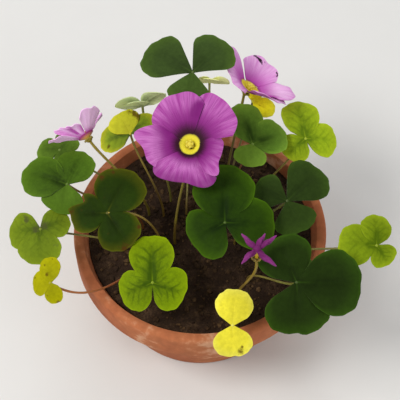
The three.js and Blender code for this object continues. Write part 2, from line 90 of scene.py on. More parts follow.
# Leaf looks: blade, shade along the ribs, margin, underside, mottling, vein strength, specks
LEAF_LOOKS = {
    "leaf_01": ("35471e", "243215", "496222", "6f8457", 0.4, 0.5, 0.0),
    "leaf_02": ("8d9c60", "5d6b46", "a3ad72", "e0eeb0", 0.8, 0.6, 0.0),
    "leaf_03": ("7d8f20", "485c1c", "bcb82a", "a0a34c", 0.9, 0.3, 0.4),
    "leaf_04": ("516c1f", "354b15", "647f27", "7f9160", 0.6, 0.5, 0.0),
    "leaf_05": ("435f15", "213309", "54721c", "7b8f5a", 0.75, 0.6, 0.0),
    "leaf_06": ("233506", "152105", "56580c", "6b7b44", 0.7, 0.4, 0.15),
    "leaf_07": ("687b17", "405310", "7b8d1e", "98a666", 0.6, 0.45, 0.25),
    "leaf_08": ("9d9b05", "7a7905", "aaa605", "b5b35a", 0.4, 0.15, 0.6),
    "leaf_09": ("6e8605", "374e05", "839b08", "98a75b", 1.0, 0.8, 0.0),
    "leaf_10": ("253c06", "142506", "3f5f08", "62753d", 0.75, 0.5, 0.0),
    "leaf_11": ("293a13", "18240a", "3a5219", "5e7050", 0.35, 0.45, 0.0),
    "leaf_12": ("20310a", "141e06", "33500f", "5b6e41", 0.4, 0.3, 0.0),
    "leaf_13": ("768b12", "4f6607", "91a519", "94a456", 0.85, 0.65, 0.1),
    "leaf_14": ("597a26", "304714", "759731", "74895a", 0.7, 0.45, 0.0),
    "leaf_15": ("8ea51a", "556e0e", "aabd23", "97a757", 0.95, 0.6, 0.05),
    "leaf_16": ("f3ee24", "cdb91e", "f3f344", "b9ae55", 0.4, 0.15, 0.6),
    "leaf_17": ("f0f596", "cdd37a", "f4f8a0", "fbfcb4", 0.2, 0.1, 0.0),
    "leaf_18": ("e9dd3b", "d9ca2d", "f1e85f", "d2ca5c", 0.25, 0.1, 0.08),
    "leaf_19": ("4f6a26", "34491a", "66802f", "778a55", 0.5, 0.3, 0.0),
    "leaf_20": ("4a6424", "324618", "617c2e", "748855", 0.5, 0.3, 0.0),
}

# Stalk colours at the foot and at the top
STALK_LOOKS = {
    "leaf_02": ("7f7a33", "8f9a48"), "leaf_03": ("6d5320", "8b7a2b"), "leaf_06": ("80601f", "a08a35"),
    "leaf_08": ("8a3c22", "a8652c"), "leaf_14": ("7d4326", "85502a"), "leaf_15": ("7c6a22", "9a8a30"),
    "leaf_05": ("7a4a26", "8a6a34"), "leaf_18": ("7f7a2e", "c9bb3a"), "leaf_17": ("7f8038", "a3a556"),
}
STALK_PLAIN = ("75602a", "86873a")

# Brown or torn spots: leaf, leaflet, how far along, how far across, size, as shares of the reach
LEAF_MARKS = {
    "leaf_03": [(0, 0.46, -0.6, 0.17), (0, 0.66, -0.52, 0.15), (0, 0.3, -0.58, 0.12), (0, 0.85, -0.35, 0.08),
                (1, 0.72, 0.2, 0.07)],
    "leaf_06": [(0, 0.62, 0.46, 0.07), (0, 0.82, 0.3, 0.05), (1, 0.86, -0.28, 0.08), (1, 0.99, -0.05, 0.08),
                (1, 0.8, -0.44, 0.06), (2, 0.95, -0.1, 0.1), (2, 0.72, 0.44, 0.06)],
    "leaf_07": [(0, 0.42, -0.3, 0.1), (0, 0.12, 0.0, 0.14), (1, 0.16, 0.05, 0.16), (0, 0.5, -0.42, 0.06),
                (2, 0.96, 0.2, 0.06)],
    "leaf_18": [(1, 0.82, 0.24, 0.1), (1, 0.68, 0.28, 0.06)],
    "leaf_08": [(0, 0.35, 0.1, 0.08), (2, 0.95, 0.05, 0.1)],
}

# Leaflets that are paler than the others: how far they go towards the margin's colour
LEAF_TINTS = {
    ("leaf_03", 0): 0.8, ("leaf_05", 2): 0.5, ("leaf_14", 2): 0.5, ("leaf_01", 2): 0.35, ("leaf_11", 2): 0.15,
    ("leaf_08", 1): 0.3,
}

# Bites out of a margin: leaf, leaflet, place round the outline from -1 to 1, depth, width
LEAF_BITES = {
    "leaf_06": [(1, -0.36, 0.26, 0.15), (1, -0.12, -0.1, 0.08)],
    "leaf_12": [(2, 0.0, 0.03, 0.06)],
    "leaf_09": [(2, 0.42, -0.05, 0.1)],
    "leaf_13": [(1, -0.42, 0.06, 0.1)],
    "leaf_18": [(1, 0.06, 0.03, 0.06), (0, 0.3, 0.03, 0.05)],
    "leaf_02": [(1, 0.3, 0.05, 0.07), (1, 0.55, 0.05, 0.06)],
}

# Leaf blades as in the solids, with half their thickness and the rows and columns of a large and a small one
BLADE = {"waist": 0.54, "sweep": 132, "taper": 0.14, "arch": 0.28, "fold": 0.05, "ripple": 0.025,
         "start": -0.3, "half": 0.27, "large": (16, 36), "small": (12, 28), "small_reach": 13}
WAIST = {"leaf_01": 0.64, "leaf_11": 0.62, "leaf_12": 0.56}
STEM = {"foot": 40, "straight": 13, "rise": 0.45, "petiole": 0.5, "scape": 0.6, "steps": 36, "sides": 10}

# Open blooms: throat, lean, tube, lip, sepal, root, bend, and petals
# [turn, reach, half angle, rise, flare, where a point is across it, how far that stands out]
BLOOMS = {
    "bloom_front": ([-4, 8, 107], [23, -9], 9, 4.6, 4.4, [-11, -6], [-5, -6, -14],
                    [[110, 21.5, 41, 2, 0], [46, 22, 38, 2, 0, 0.55, 0.07],
                     [-24, 13.8, 38, 3, 0.1, -0.68, 0.42], [-102, 15.5, 50, 1, 0.6],
                     [183, 18.5, 36, 2, 0, -0.43, 0.32]]),
    "bloom_back": ([21, 45.5, 95.6], [-24, 34], 2.6, 4.3, 0.8, [10, 15], [-0.5, 2, -12],
                   [[76, 18.7, 38, 7.5, -0.1, 0.4, 0.07], [154, 20.5, 31, 6.5, -0.1],
                    [-1, 18.2, 40, 9, -0.05], [-57, 17.7, 39, 7.8, 0], [-150, 14.5, 42, 3.5, 0]]),
    "bloom_left": ([-48, 25, 89.2], [-66, -36], 1.8, 3.4, 0.6, [-22.5, 9], [5, -4, -8],
                   [[-41, 11.8, 40, 7, 0], [-119, 9.4, 34, 6, 0], [-143, 11.3, 28, 8, 0],
                    [-172, 14.6, 34, 6.8, 0], [52, 12.8, 46, 4.5, 0]]),
}

# How much narrower the cup and the foot of the tube are
SLIM = {"bloom_front": 0, "bloom_back": 0.3, "bloom_left": 0.3, "bloom_fading": 0.4}

# For each petal, how far beyond the lip the dark throat and the deep colour reach. On bloom_front's fifth
# petal the deep colour stretches far out as painted fold shade
THROAT_REACH = {
    "bloom_front": [(6.4, 12.5), (6.4, 12.0), (4.2, 10.5), (2.2, 6.0), (4.6, 13.5)],
    "bloom_back": [(1.5, 7.0), (1.5, 8.0), (1.8, 9.0), (2.5, 9.0), (2.0, 8.0)],
    "bloom_left": [(1.0, 6.0), (1.0, 6.0), (1.5, 9.0), (1.0, 6.0), (1.0, 6.0)],
}

# Closed, fading bloom: the same, with rolled petals [turn, rise, reach, width]
FADING = ([22, -35, 98], [-15, 0], 5, 2.4, 1, [14, -36], [2, 0, -16],
          [[139, 25, 8.5, 2.6], [58, 35, 7, 2.4], [34, 15, 9.5, 2.6], [-137, -15, 8.5, 2.6],
           [-38, -20, 10, 2.8]])

PETAL = {"inset": 0.9, "lift": 1.5, "pinch": 4, "fall": 0.24, "round": 1.6, "cup": 0.9, "peak": 0.3,
         "half": 0.22, "rows": 22, "columns": 26}
CALYX = {"gap": 0.4, "foot": 0.9, "outer": 2.2, "inner": 1.6, "seat": 1.9, "sepals": 5, "sepal_half": 0.3,
         "sepal_width": 0.88}
SOIL = {"top": 52.0, "rings": 46, "sides": 150, "edge": 48.6, "foot_edge": 46.4, "foot": 40.0}
CRUMBS = {"count": 1500, "quick_count": 500, "spread": 47.2, "limit": 48.2,
          "sizes": (0.35, 0.5, 0.5, 0.7, 0.9, 1.2)}
POT = {"height": 56, "base": 40, "neck": 50, "rim": 55, "rim_height": 15, "wall": 4.5, "floor": 6, "drain": 6,
       "sides": 144, "step": 3}


def colour(text):
    """Linear RGBA from a six-digit colour."""
    parts = [int(text[i:i + 2], 16) / 255 for i in (0, 2, 4)]
    return (*[c / 12.92 if c <= 0.04045 else ((c + 0.055) / 1.055) ** 2.4 for c in parts], 1.0)


# Node trees

class Graph:
    """Short names for the nodes of one tree."""

    def __init__(self, tree):
        self.tree = tree

    def add(self, kind, **settings):
        node = self.tree.nodes.new(kind)
        for key, value in settings.items():
            setattr(node, key, value)
        return node

    def put(self, value, socket):
        if isinstance(value, bpy.types.NodeSocket):
            self.tree.links.new(value, socket)
        else:
            socket.default_value = value

    def math(self, operation, *values):
        node = self.add("ShaderNodeMath", operation=operation)
        for value, socket in zip(values, node.inputs):
            self.put(value, socket)
        return node.outputs[0]

    def times(self, first, second):
        return self.math("MULTIPLY", first, second)

    def plus(self, first, second):
        return self.math("ADD", first, second)

    def minus(self, first, second):
        return self.math("SUBTRACT", first, second)

    def ramp(self, value, start, end, low=0.0, high=1.0):
        """Smooth step from low at start to high at end."""
        node = self.add("ShaderNodeMapRange", interpolation_type="SMOOTHSTEP")
        for item, socket in zip((value, start, end, low, high), node.inputs):
            self.put(item, socket)
        return node.outputs[0]

    def mix(self, factor, first, second, blend="MIX"):
        node = self.add("ShaderNodeMix", data_type="RGBA", blend_type=blend, clamp_factor=True)
        self.put(factor, node.inputs[0])
        self.put(first, node.inputs[6])
        self.put(second, node.inputs[7])
        return node.outputs[2]

    def noise(self, vector, scale, detail=2.0, roughness=0.5):
        node = self.add("ShaderNodeTexNoise")
        self.put(vector, node.inputs["Vector"])
        self.put(scale, node.inputs["Scale"])
        node.inputs["Detail"].default_value = detail
        node.inputs["Roughness"].default_value = roughness
        return node.outputs["Fac"]

    def attribute(self, name):
        return self.add("ShaderNodeAttribute", attribute_name=name).outputs["Fac"]

    def combine(self, x, y, z=0.0):
        node = self.add("ShaderNodeCombineXYZ")
        for value, socket in zip((x, y, z), node.inputs):
            self.put(value, socket)
        return node.outputs[0]

    def place(self):
        return self.add("ShaderNodeTexCoord").outputs["Object"]

    def map(self):
        split = self.add("ShaderNodeSeparateXYZ")
        self.put(self.add("ShaderNodeTexCoord").outputs["UV"], split.inputs[0])
        return split.outputs[0], split.outputs[1]


def group(name, inputs, outputs):
    """A node group with named sockets. Inputs are (name, kind, default)."""
    tree = bpy.data.node_groups.new(name, "ShaderNodeTree")
    for label, kind, value in inputs:
        socket = tree.interface.new_socket(label, in_out="INPUT", socket_type=kind)
        socket.default_value = value
    for label, kind in outputs:
        tree.interface.new_socket(label, in_out="OUTPUT", socket_type=kind)
    graph = Graph(tree)
    source = graph.add("NodeGroupInput")
    sink = graph.add("NodeGroupOutput")
    return graph, source.outputs, sink.inputs


COLOUR = "NodeSocketColor"
VALUE = "NodeSocketFloat"
GREY = (0.5, 0.5, 0.5, 1.0)


def leaf_group():
    g, given, made = group(
        "LeafBlade",
        [("Blade", COLOUR, GREY), ("Shade", COLOUR, GREY), ("Margin", COLOUR, GREY), ("Under", COLOUR, GREY),
         ("Mark", COLOUR, GREY), ("Mottle", VALUE, 0.5), ("Veins", VALUE, 0.3), ("Specks", VALUE, 0.0),
         ("Feather", VALUE, 1.0)],
        [("Color", COLOUR), ("Height", VALUE), ("Dryness", VALUE)])
    along, across = g.map()
    place = g.place()
    side = g.math("ABSOLUTE", across)
    cloud = g.noise(place, 130.0, 3.0, 0.6)
    wobble = g.times(g.minus(g.noise(place, 160.0), 0.5), 0.2)
    course = g.plus(g.minus(along, g.times(side, 1.15)),
                    g.times(g.times(side, side), 1.1))
    course = g.plus(course, wobble)
    comb = g.math("ABSOLUTE", g.minus(g.math("FRACT", g.times(course, 4.6)), 0.5))
    fade = g.times(g.ramp(side, 0.5, 0.12, 0.0, 1.0), g.ramp(along, 1.0, 0.6, 0.1, 1.0))
    vein = g.times(g.ramp(comb, 0.0, 0.3, 0.9, 0.0), fade)
    vein = g.times(vein, given["Feather"])
    thin_vein = g.times(g.times(g.ramp(comb, 0.0, 0.07, 1.0, 0.0), fade), given["Feather"])
    turn = g.math("ARCTAN2", across, g.plus(along, 0.12))
    spokes = g.noise(g.combine(g.times(turn, 7.5), g.times(along, 0.9)), 1.0, 3.0, 0.6)
    fan = g.times(g.ramp(spokes, 0.46, 0.68), g.ramp(along, 0.95, 0.1, 0.0, 1.0))
    rib = g.times(g.ramp(side, 0.0, 0.025, 1.0, 0.0), g.ramp(along, 1.0, 0.5, 0.0, 1.0))
    band = g.times(g.ramp(side, 0.0, 0.13, 1.0, 0.0), g.ramp(along, 1.0, 0.45, 0.0, 1.0))
    inner = g.ramp(along, 0.05, 0.8, 1.0, 0.0)
    broad = g.ramp(side, 0.02, 0.42, 1.0, 0.0)
    dark = g.plus(g.times(g.times(broad, inner), 0.8), g.times(band, 0.7))
    dark = g.times(dark, g.ramp(cloud, 0.33, 0.62, 0.35, 1.1))
    tone = g.mix(g.times(dark, given["Mottle"]), given["Blade"], given["Shade"])
    lines = g.times(g.math("MAXIMUM", vein, g.times(fan, 0.9)),
                   g.ramp(cloud, 0.34, 0.58, 0.35, 1.0))
    lines = g.math("MAXIMUM", lines, g.times(thin_vein, 0.3))
    tone = g.mix(g.times(lines, given["Veins"]), tone, given["Shade"])
    net_node = g.add("ShaderNodeTexVoronoi", feature="DISTANCE_TO_EDGE")
    g.put(place, net_node.inputs["Vector"])
    net_node.inputs["Scale"].default_value = 800.0
    net = g.ramp(net_node.outputs["Distance"], 0.02, 0.16, 1.0, 0.0)
    tone = g.mix(g.times(g.times(net, given["Veins"]), 0.22), tone, given["Shade"])
    # The paler tint of single leaflets; on petals the same value holds painted highlights
    tone = g.mix(g.attribute("tint_and_highlight"), tone, given["Margin"])
    rim = g.times(g.ramp(g.attribute("rim"), 0.7, 1.0), 0.5)
    rim = g.math("MAXIMUM", rim, g.times(g.ramp(g.attribute("rim"), 0.93, 0.98), 0.85))
    tone = g.mix(rim, tone, given["Margin"])
    tone = g.mix(g.times(rib, g.ramp(along, 0.3, 0.0, 0.03, 0.4)), tone, given["Margin"])
    light = g.ramp(g.noise(place, 60.0, 1.0), 0.3, 0.7, 0.87, 1.13)
    grain = g.ramp(g.noise(place, 650.0, 2.0), 0.3, 0.7, 0.93, 1.07)
    light = g.times(light, grain)
    tone = g.mix(1.0, tone, g.combine(light, light, light), "MULTIPLY")
    below = g.mix(g.times(g.math("MAXIMUM", lines, rib), 0.3), given["Under"], given["Shade"])
    below = g.mix(g.times(g.times(dark, given["Mottle"]), 0.6), below, given["Shade"])
    tone = g.mix(g.attribute("under"), tone, below)
    fleck = g.ramp(g.noise(place, 420.0, 1.0), 0.70, 0.76)
    fleck = g.times(fleck, given["Specks"])
    rough_edge = g.times(g.minus(g.noise(place, 700.0, 3.0), 0.5), 1.0)
    spot = g.ramp(g.plus(g.attribute("mark"), rough_edge), 0.35, 0.85)
    spot = g.times(spot, g.ramp(g.attribute("mark"), 0.0, 0.35, 0.0, 0.85))
    worn = g.math("MAXIMUM", spot, fleck)
    tone = g.mix(worn, tone, given["Mark"])
    g.put(tone, made["Color"])
    height = g.plus(g.times(thin_vein, -0.5), g.times(net, -0.2))
    height = g.plus(height, g.times(fan, -0.4))
    height = g.plus(height, g.times(g.noise(place, 900.0), 0.45))
    g.put(g.plus(height, g.times(rib, -0.5)), made["Height"])
    g.put(worn, made["Dryness"])
    return g.tree


def petal_group():
    g, given, made = group(
        "PetalBlade",
        [("Throat", COLOUR, GREY), ("Ring", COLOUR, GREY), ("Deep", COLOUR, GREY), ("Middle", COLOUR, GREY),
         ("Pale", COLOUR, GREY), ("Outside", COLOUR, GREY), ("Veins", VALUE, 0.5)],
        [("Color", COLOUR), ("Height", VALUE)])
    turn, out = g.map()
    place = g.place()
    fine = g.noise(g.combine(g.times(turn, 75.0), g.times(out, 1.6)), 1.0, 3.0, 0.65)
    broad = g.noise(g.combine(g.times(turn, 9.0), g.times(out, 1.2)), 1.0, 2.0)
    lines = g.ramp(fine, 0.47, 0.62)
    streak = g.times(g.minus(fine, 0.5), 1.3)
    reach = g.plus(g.attribute("shade"), streak)
    # Paler patches towards the tip, plus the painted highlights
    pale = g.times(g.ramp(broad, 0.3, 0.7, 0.1, 0.8), g.ramp(out, 0.25, 0.9))
    pale = g.plus(pale, g.attribute("tint_and_highlight"))
    tone = g.mix(pale, given["Middle"], given["Pale"])
    tone = g.mix(g.times(g.ramp(reach, 1.0, 0.1), 0.9), tone, given["Deep"])
    tone = g.mix(g.times(g.times(lines, given["Veins"]), g.ramp(out, 1.0, 0.55, 0.45, 1.0)),
                 tone, given["Deep"])
    core = g.plus(g.attribute("ring"), g.times(streak, 0.7))
    tone = g.mix(g.ramp(core, 0.05, 0.95), tone, given["Ring"])
    outer = g.mix(g.times(lines, 0.45), given["Outside"], given["Middle"])
    outer = g.mix(g.ramp(out, 0.35, 0.0), outer, given["Deep"])
    tone = g.mix(g.attribute("under"), tone, outer)
    # Painted shade of folds, overlaps and bent-down edges in the deep colour; on bloom_left the magenta edge
    # streaks
    tone = g.mix(g.times(g.attribute("fold"), g.ramp(broad, 0.2, 0.6, 0.7, 0.95)), tone, given["Deep"])
    tone = g.mix(g.attribute("yellow"), tone, given["Throat"])
    tear = g.times(g.minus(g.noise(place, 600.0, 3.0), 0.5), 1.3)
    spot = g.ramp(g.plus(g.attribute("mark"), tear), 0.42, 0.6)
    spot = g.times(spot, g.ramp(g.attribute("mark"), 0.05, 0.3))
    tone = g.mix(spot, tone, colour("2a0f24"))
    g.put(tone, made["Color"])
    g.put(g.plus(g.times(fine, 1.0), g.times(broad, 0.6)), made["Height"])
    return g.tree


def stalk_group():
    g, given, made = group(
        "StalkSkin", [("Foot", COLOUR, GREY), ("Top", COLOUR, GREY)], [("Color", COLOUR), ("Height", VALUE)])
    place = g.place()
    turn, out = g.map()
    grain = g.noise(g.combine(g.times(turn, 9.0), g.times(out, 7.0)), 1.0, 3.0)
    cloud = g.noise(place, 110.0, 2.0)
    level = g.plus(g.attribute("shade"), g.times(g.minus(cloud, 0.5), 0.9))
    tone = g.mix(g.ramp(level, 0.1, 0.95), given["Foot"], given["Top"])
    tone = g.mix(g.ramp(grain, 0.35, 0.75, 0.25, 0.0), tone, colour("4a2f16"))
    g.put(tone, made["Color"])
    g.put(grain, made["Height"])
    return g.tree


def grain_group():
    """Two tones broken up by noise, patches of a third, and a fine grain."""
    g, given, made = group(
        "Grain",
        [("First", COLOUR, GREY), ("Second", COLOUR, GREY), ("Third", COLOUR, GREY), ("Scale", VALUE, 100.0),
         ("Third share", VALUE, 0.2), ("Contrast", VALUE, 1.0)],
        [("Color", COLOUR), ("Height", VALUE)])
    place = g.place()
    wide = g.noise(place, given["Scale"], 4.0, 0.65)
    fine = g.noise(place, g.times(given["Scale"], 9.0), 3.0, 0.6)
    tone = g.mix(g.ramp(wide, 0.35, 0.65), given["First"], given["Second"])
    third = g.times(g.ramp(g.plus(wide, g.times(fine, 0.5)), 0.78, 0.95),
                   given["Third share"])
    tone = g.mix(third, tone, given["Third"])
    light = g.ramp(fine, 0.25, 0.75, g.minus(1.0, g.times(given["Contrast"], 0.14)),
                   g.plus(1.0, g.times(given["Contrast"], 0.12)))
    g.put(g.mix(1.0, tone, g.combine(light, light, light), "MULTIPLY"), made["Color"])
    g.put(g.plus(fine, g.times(wide, 0.5)), made["Height"])
    return g.tree


def material(name, tree, values, roughness, bump, distance, extra=None):
    """A Principled material whose colour and relief come from a node group. Colours are six-digit texts."""
    made = bpy.data.materials.new(name)
    made.use_nodes = True
    made.node_tree.nodes.clear()
    g = Graph(made.node_tree)
    source = g.add("ShaderNodeGroup")
    source.node_tree = tree
    for key, value in values.items():
        source.inputs[key].default_value = colour(value) if isinstance(value, str) else value
    shader = g.add("ShaderNodeBsdfPrincipled")
    g.put(source.outputs["Color"], shader.inputs["Base Color"])
    shader.inputs["Roughness"].default_value = roughness
    for key, value in (extra or {}).items():
        shader.inputs[key].default_value = value
    relief = g.add("ShaderNodeBump")
    relief.inputs["Strength"].default_value = bump
    relief.inputs["Distance"].default_value = distance
    g.put(source.outputs["Height"], relief.inputs["Height"])
    g.put(relief.outputs[0], shader.inputs["Normal"])
    if "Dryness" in source.outputs:
        g.put(g.ramp(source.outputs["Dryness"], 0.0, 1.0, roughness, 0.85), shader.inputs["Roughness"])
    g.put(shader.outputs[0], g.add("ShaderNodeOutputMaterial").inputs[0])
    return made


LEAF = leaf_group()
PETALS = petal_group()
STALK = stalk_group()
GRAIN = grain_group()

leaf_materials = {}
for name, (blade, shade, margin, under, mottle, veins, specks) in LEAF_LOOKS.items():
    dry = "4a2c10" if LEAVES[name][4] in ("yellow", "dark") else "4a4d2a"
    leaf_materials[name] = material(
        f"blade_{name}", LEAF,
        {"Blade": blade, "Shade": shade, "Margin": margin, "Under": under, "Mark": dry,
         "Mottle": mottle, "Veins": veins, "Specks": specks,
         "Feather": 1.0 if LEAVES[name][4] in ("lime", "light", "yellow") else 0.12},
        0.6, 0.3, 0.00025, {"Specular IOR Level": 0.04})

stalk_materials = {}


def stalk_material(looks):
    if looks not in stalk_materials:
        stalk_materials[looks] = material(
            f"stalk_{looks[0]}_{looks[1]}", STALK, {"Foot": looks[0], "Top": looks[1]},
            0.45, 0.3, 0.0001, {"Specular IOR Level": 0.4})
    return stalk_materials[looks]


# Petal looks: throat, ring, deep (also the painted fold shade), middle, pale (also the painted highlights),
# outside, strength of the lines
PETAL_LOOKS = {
    "front": ("dfd23a", "2c0819", "75146c", "9d3791", "c877be", "d9a4d3", 0.75),
    "back": ("e0cb37", "8a2f72", "aa3c9e", "d78bce", "eebfe8", "b85ab0", 0.4),
    "left": ("dcb236", "a0307a", "bb3fae", "f4a8ea", "ffdcfd", "fed0fb", 0.4),
    "fading": ("e0bc30", "4a0d3c", "5e1450", "7c276c", "9c4690", "742768", 0.6),
}
petal_materials = {}
for name, looks in PETAL_LOOKS.items():
    sockets = ("Throat", "Ring", "Deep", "Middle", "Pale", "Outside", "Veins")
    petal_materials[f"bloom_{name}"] = material(
        f"petals_{name}", PETALS, dict(zip(sockets, looks)), 0.6, 0.3, 0.00015,
        {"Specular IOR Level": 0.12, "Sheen Weight": 0.05, "Sheen Roughness": 0.4})


def grain_material(name, tones, scale, third_share, roughness, bump, distance, specular=0.5, contrast=1.0):
    return material(
        name, GRAIN, {"First": tones[0], "Second": tones[1], "Third": tones[2], "Scale": scale,
                      "Third share": third_share, "Contrast": contrast},
        roughness, bump, distance, {"Specular IOR Level": specular})


stamen_material = grain_material("stamens", ("d8c53c", "e2d24c", "ceb438"), 500.0, 0.3, 0.6, 0.3, 0.0001)
clay_material = grain_material("clay", ("a9603c", "b87148", "cfa889"), 28.0, 0.55, 0.85, 0.25, 0.0003, 0.25)
soil_material = grain_material("soil", ("2a1d14", "3a2a1e", "54402d"), 140.0, 0.6, 0.95, 0.8, 0.0006, 0.15)
crumb_material = grain_material("crumbs", ("2f2118", "46331f", "6a5238"), 90.0, 0.5, 0.95, 0.6, 0.0004, 0.15)


# Mesh building

FIELDS = ("under", "rim", "mark", "shade", "ring", "fold", "tint_and_highlight", "yellow")


class Piece:
    """Vertices with a map place and named values, and faces with a material number."""

    def __init__(self):
        self.points = []
        self.places = []
        self.values = []
        self.faces = []
        self.kinds = []

    def point(self, at, place=(0.0, 0.0), **values):
        self.points.append(at)
        self.places.append(place)
        self.values.append(values)
        return len(self.points) - 1

    def face(self, corners, kind=0):
        self.faces.append(corners)
        self.kinds.append(kind)

    def join(self, rings, kind=0):
        """Faces between rings of the same count of points, from each ring to the next."""
        for near, far in zip(rings, rings[1:]):
            for side in range(len(near)):
                other = (side + 1) % len(near)
                corners = [near[side], near[other], far[other], far[side]]
                self.face(list(dict.fromkeys(corners)), kind)

    def build(self, name, node, materials, angle=50):
        mesh = bpy.data.meshes.new(name)
        mesh.from_pydata([tuple(p) for p in self.points], [], self.faces)
        for item in materials:
            mesh.materials.append(item)
        mesh.polygons.foreach_set("material_index", self.kinds)
        mesh.polygons.foreach_set("use_smooth", [True] * len(self.faces))
        layer = mesh.uv_layers.new(name="UVMap")
        for loop in mesh.loops:
            layer.data[loop.index].uv = self.places[loop.vertex_index]
        for field in FIELDS:
            if any(field in values for values in self.values):
                store = mesh.attributes.new(field, "FLOAT", "POINT")
                store.data.foreach_set("value", [float(values.get(field, 0.0)) for values in self.values])
        mesh.set_sharp_from_angle(angle=math.radians(angle))
        mesh.validate()
        shown = bpy.data.objects.new(name, mesh)
        bpy.context.scene.collection.objects.link(shown)
        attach(shown, "root")
        if node:
            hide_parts(node)
        return shown


def round_places(radius, sides):
    """Places on a circle, in millimetres."""
    angles = [2 * math.pi * s / sides for s in range(sides)]
    return [(radius * math.cos(angle), radius * math.sin(angle)) for angle in angles]


def facing(lean, turn=0.0, rise=0.0):
    """Leaned to the front and the right, turned about the leaned axis, then tipped up at the far end."""
    front, right = lean
    return (Matrix.Rotation(math.radians(front), 4, "X") @ Matrix.Rotation(math.radians(right), 4, "Y")
            @ Matrix.Rotation(math.radians(turn), 4, "Z") @ Matrix.Rotation(math.radians(-rise), 4, "Y"))


def sheet(piece, surface, rows, columns, matrix, kind, fan=False):
    """A closed sheet. surface(row, side) gives its middle point, half thickness, map place and values."""
    layers = []
    for sign in (1, -1):
        grid = []
        for r in range(rows + 1):
            count = 1 if fan and r == 0 else columns + 1
            line = []
            for c in range(count):
                side = 0.0 if count == 1 else 2 * c / columns - 1
                at, half, place, values = surface(r / rows, side)
                spot = matrix @ ((at + Vector((0, 0, sign * half))) * MM)
                line.append(piece.point(spot, place, under=0.0 if sign > 0 else 1.0, **values))
            grid.append(line * (columns + 1) if count == 1 else line)
        layers.append(grid)
    for sign, grid in zip((1, -1), layers):
        for r in range(rows):
            for c in range(columns):
                corners = [grid[r][c], grid[r + 1][c], grid[r + 1][c + 1], grid[r][c + 1]]
                if fan and r == 0:
                    corners = corners[:3]
                piece.face(corners if sign > 0 else corners[::-1], kind)
    edge = [(r, 0) for r in range(rows)] + [(rows, c) for c in range(columns)]
    edge += [(r, columns) for r in range(rows, 0, -1)]
    edge += [] if fan else [(0, c) for c in range(columns, 0, -1)]
    top, bottom = layers
    for step, (r, c) in enumerate(edge):
        r2, c2 = edge[(step + 1) % len(edge)]
        if fan and r == r2 == 0:
            continue
        piece.face([bottom[r][c], bottom[r2][c2], top[r2][c2], top[r][c]], kind)


def tube(piece, points, radii, sides, kind, values=None):
    """A closed round tube along points, in metres."""
    rings = []
    across = Vector((1, 0, 0))
    last = len(points) - 1
    for index, (at, radius) in enumerate(zip(points, radii)):
        ahead = (points[min(index + 1, last)] - points[max(index - 1, 0)]).normalized()
        across = (across - ahead * across.dot(ahead)).normalized()
        up = ahead.cross(across)
        ring = []
        for side in range(sides):
            angle = 2 * math.pi * side / sides
            spot = at + (across * math.cos(angle) + up * math.sin(angle)) * radius
            extra = values(index / last) if values else {}
            ring.append(piece.point(spot, (side / sides, index / last * 8), **extra))
        rings.append(ring)
    piece.join(rings, kind)
    piece.face(rings[0][::-1], kind)
    piece.face(rings[-1], kind)


def lathe(piece, profile, sides, matrix, kind, values=None):
    """A turned body. The profile runs outwards, then up, from the axis back to the axis."""
    rings = []
    for index, (radius, height) in enumerate(profile):
        extra = values(radius, height) if values else {}
        if radius == 0:
            middle = matrix @ (Vector((0, 0, height)) * MM)
            rings.append([piece.point(middle, (0, index / 10), **extra)] * sides)
            continue
        ring = []
        for side, (x, y) in enumerate(round_places(radius, sides)):
            at = matrix @ (Vector((x, y, height)) * MM)
            ring.append(piece.point(at, (side / sides, index / 10), **extra))
        rings.append(ring)
    piece.join(rings, kind)


def ball(piece, at, radii, matrix, kind, sides=8, rings=5, values=None):
    """A closed ellipsoid. at and radii in millimetres."""
    profile = []
    for step in range(rings + 1):
        angle = math.pi * step / rings
        profile.append((radii[0] * math.sin(angle) if 0 < step < rings else 0, -radii[1] * math.cos(angle)))
    lathe(piece, profile, sides, matrix @ Matrix.Translation(Vector(at) * MM), kind, values)


def stem_path(root, end, bend):
    """Straight out of the soil, then one smooth bend to the upper end, in metres."""
    foot = Vector((*root, STEM["foot"]))
    knee = Vector((*root, STEM["foot"] + STEM["straight"]))
    tip = Vector(end)
    first = knee + Vector((0, 0, STEM["rise"] * (tip.z - knee.z)))
    second = tip + Vector(bend)
    path = [foot.lerp(knee, step / 6) for step in range(6)]
    for step in range(STEM["steps"] + 1):
        t = step / STEM["steps"]
        s = 1 - t
        path.append(knee * s ** 3 + first * (3 * s * s * t) + second * (3 * s * t * t) + tip * t ** 3)
    return [point * MM for point in path]


def stem(piece, root, end, bend, radius, kind):
    path = stem_path(root, end, bend)
    last = len(path) - 1
    radii = []
    for index in range(len(path)):
        share = index / last
        thin = 1.04 - 0.3 * math.sin(math.pi * min(1, share)) ** 2 * share
        radii.append(radius * MM * thin * (1 + 0.05 * math.sin(index * 1.3 + root[0])))
    tube(piece, path, radii, STEM["sides"], kind, lambda share: {"shade": share})


# Leaves

def outline_change(name, number, side):
    """How far the margin moves in or out, as a share."""
    seed = sum(map(ord, name)) + 13 * number
    change = 0.012 * math.sin(4.3 * side * math.pi + seed) + 0.008 * math.sin(9.1 * side * math.pi + 2 * seed)
    for leaflet, at, depth, width in LEAF_BITES.get(name, []):
        if leaflet == number:
            change -= depth * math.exp(-((side - at) / width) ** 2)
    return change * (1 - abs(side) ** 6)


